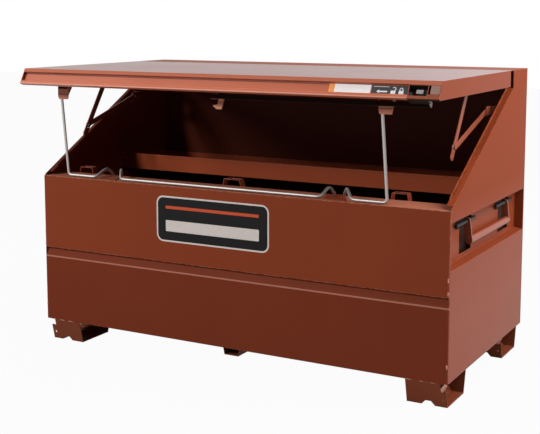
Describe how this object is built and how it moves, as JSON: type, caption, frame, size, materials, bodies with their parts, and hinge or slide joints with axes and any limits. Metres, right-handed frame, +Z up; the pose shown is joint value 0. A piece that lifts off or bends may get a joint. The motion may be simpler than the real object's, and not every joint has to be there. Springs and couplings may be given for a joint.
{
  "type": "jobsite storage box",
  "caption": "Slope-lid steel jobsite storage box with its lid propped open on a wire bail, folding stays, a slide latch, drop handles, an inside tray and lifting skids.",
  "frame": {"origin": "middle of the bounding box on the ground, under the skids, with the lid propped open", "axes": "+X along the length to the right as seen from the front, +Y from the front to the back, +Z up"},
  "size_m": [1.524, 0.8802, 0.985],
  "materials": {
    "chest_paint": "gloss",
    "lid_paint": "gloss",
    "skid_paint": "satin",
    "tray_paint": "gloss",
    "bracket_paint": "satin",
    "handle_paint": "gloss",
    "rod_zinc": "satin",
    "zinc_hardware": "satin",
    "bar_steel": "satin",
    "tab_steel": "satin",
    "plate_steel": "satin"
  },
  "bodies": {
    "chest": {"back_panel": "chest_paint", "floor_beam": "chest_paint", "floor_panel": "chest_paint", "front_lower_panel": "chest_paint", "front_upper_panel": "chest_paint", "handle_housing_left": "chest_paint", "handle_housing_right": "chest_paint", "handle_pins_left": "zinc_hardware", "handle_pins_right": "zinc_hardware", "hinge_leaf_body": "zinc_hardware", "hinge_pin": "zinc_hardware", "rear_top_panel": "chest_paint", "rod_clip_left": "bracket_paint", "rod_clip_right": "bracket_paint", "side_panel_left": "chest_paint", "side_panel_right": "chest_paint", "skid_front_left": "skid_paint", "skid_front_right": "skid_paint", "skid_rear_left": "skid_paint", "skid_rear_right": "skid_paint", "stay_body_bracket_left": "bracket_paint", "stay_body_bracket_right": "bracket_paint", "stay_body_pin_left": "zinc_hardware", "stay_body_pin_right": "zinc_hardware", "strike_centre": "bracket_paint", "strike_left": "bracket_paint", "strike_right": "bracket_paint", "tool_tray": "tray_paint", "tray_bracket_left": "tray_paint", "tray_bracket_right": "tray_paint"},
    "lid": {"hinge_leaf_lid": "zinc_hardware", "lid_front_channel": "lid_paint", "lid_panel": "lid_paint", "lid_stiffener_left": "bracket_paint", "lid_stiffener_right": "bracket_paint", "lock_escutcheon": "plate_steel", "lock_housing": "lid_paint", "prop_receiver_left": "bracket_paint", "prop_receiver_right": "bracket_paint", "stay_lid_bracket_left": "bracket_paint", "stay_lid_bracket_right": "bracket_paint", "stay_lid_pin_left": "zinc_hardware", "stay_lid_pin_right": "zinc_hardware"},
    "latch": {"lock_tab": "tab_steel", "latch_bar": "bar_steel", "latch_hook": "tab_steel"},
    "bail": {"prop_rod": "rod_zinc"},
    "handle_left": {"lift_handle_left": "handle_paint"},
    "lower_stay_left": {"stay_body_link_left": "bracket_paint", "stay_knee_pin_left": "zinc_hardware"},
    "upper_stay_left": {"stay_lid_link_left": "bracket_paint"},
    "handle_right": {"lift_handle_right": "handle_paint"},
    "lower_stay_right": {"stay_body_link_right": "bracket_paint", "stay_knee_pin_right": "zinc_hardware"},
    "upper_stay_right": {"stay_lid_link_right": "bracket_paint"}
  },
  "joints": [
    {"name": "lid_hinge", "type": "hinge", "parent": "chest", "child": "lid", "pos_m": [0, 0.26806, 0.98], "axis": [1, 0, 0], "range_deg": [0, 28.4]},
    {"name": "latch_slide", "type": "slide", "parent": "lid", "child": "latch", "axis": [1, 0, 0], "range_m": [-0.018, 0]},
    {"name": "prop_pivot", "type": "hinge", "parent": "chest", "child": "bail", "pos_m": [-0.095, -0.19194, 0.592], "axis": [1, 0, 0], "range_deg": [-178.5, 0]},
    {"name": "handle_left_pivot", "type": "hinge", "parent": "chest", "child": "handle_left", "pos_m": [-0.737, 0.09456, 0.534], "axis": [0, 1, 0], "range_deg": [0, 90]},
    {"name": "lower_stay_left_pivot", "type": "hinge", "parent": "chest", "child": "lower_stay_left", "pos_m": [-0.7075, 0.15706, 0.8555], "axis": [1, 0, 0], "range_deg": [0, 37.3]},
    {"name": "upper_stay_left_pivot", "type": "hinge", "parent": "lid", "child": "upper_stay_left", "pos_m": [-0.7038, -0.02594, 0.941], "axis": [1, 0, 0], "range_deg": [-10.3, 0]},
    {"name": "handle_right_pivot", "type": "hinge", "parent": "chest", "child": "handle_right", "pos_m": [0.737, 0.09456, 0.534], "axis": [0, -1, 0], "range_deg": [0, 90]},
    {"name": "lower_stay_right_pivot", "type": "hinge", "parent": "chest", "child": "lower_stay_right", "pos_m": [0.7075, 0.15706, 0.8555], "axis": [1, 0, 0], "range_deg": [0, 37.3]},
    {"name": "upper_stay_right_pivot", "type": "hinge", "parent": "lid", "child": "upper_stay_right", "pos_m": [0.7038, -0.02594, 0.941], "axis": [1, 0, 0], "range_deg": [-10.3, 0]}
  ],
  "couplings": [
    {"joint": "prop_pivot", "follows": "lid_hinge", "ratio": -6.2676},
    {"joint": "lower_stay_left_pivot", "follows": "lid_hinge", "ratio": 1.3093},
    {"joint": "upper_stay_left_pivot", "follows": "lid_hinge", "ratio": -0.35718},
    {"joint": "lower_stay_right_pivot", "follows": "lid_hinge", "ratio": 1.3093},
    {"joint": "upper_stay_right_pivot", "follows": "lid_hinge", "ratio": -0.35718}
  ]
}
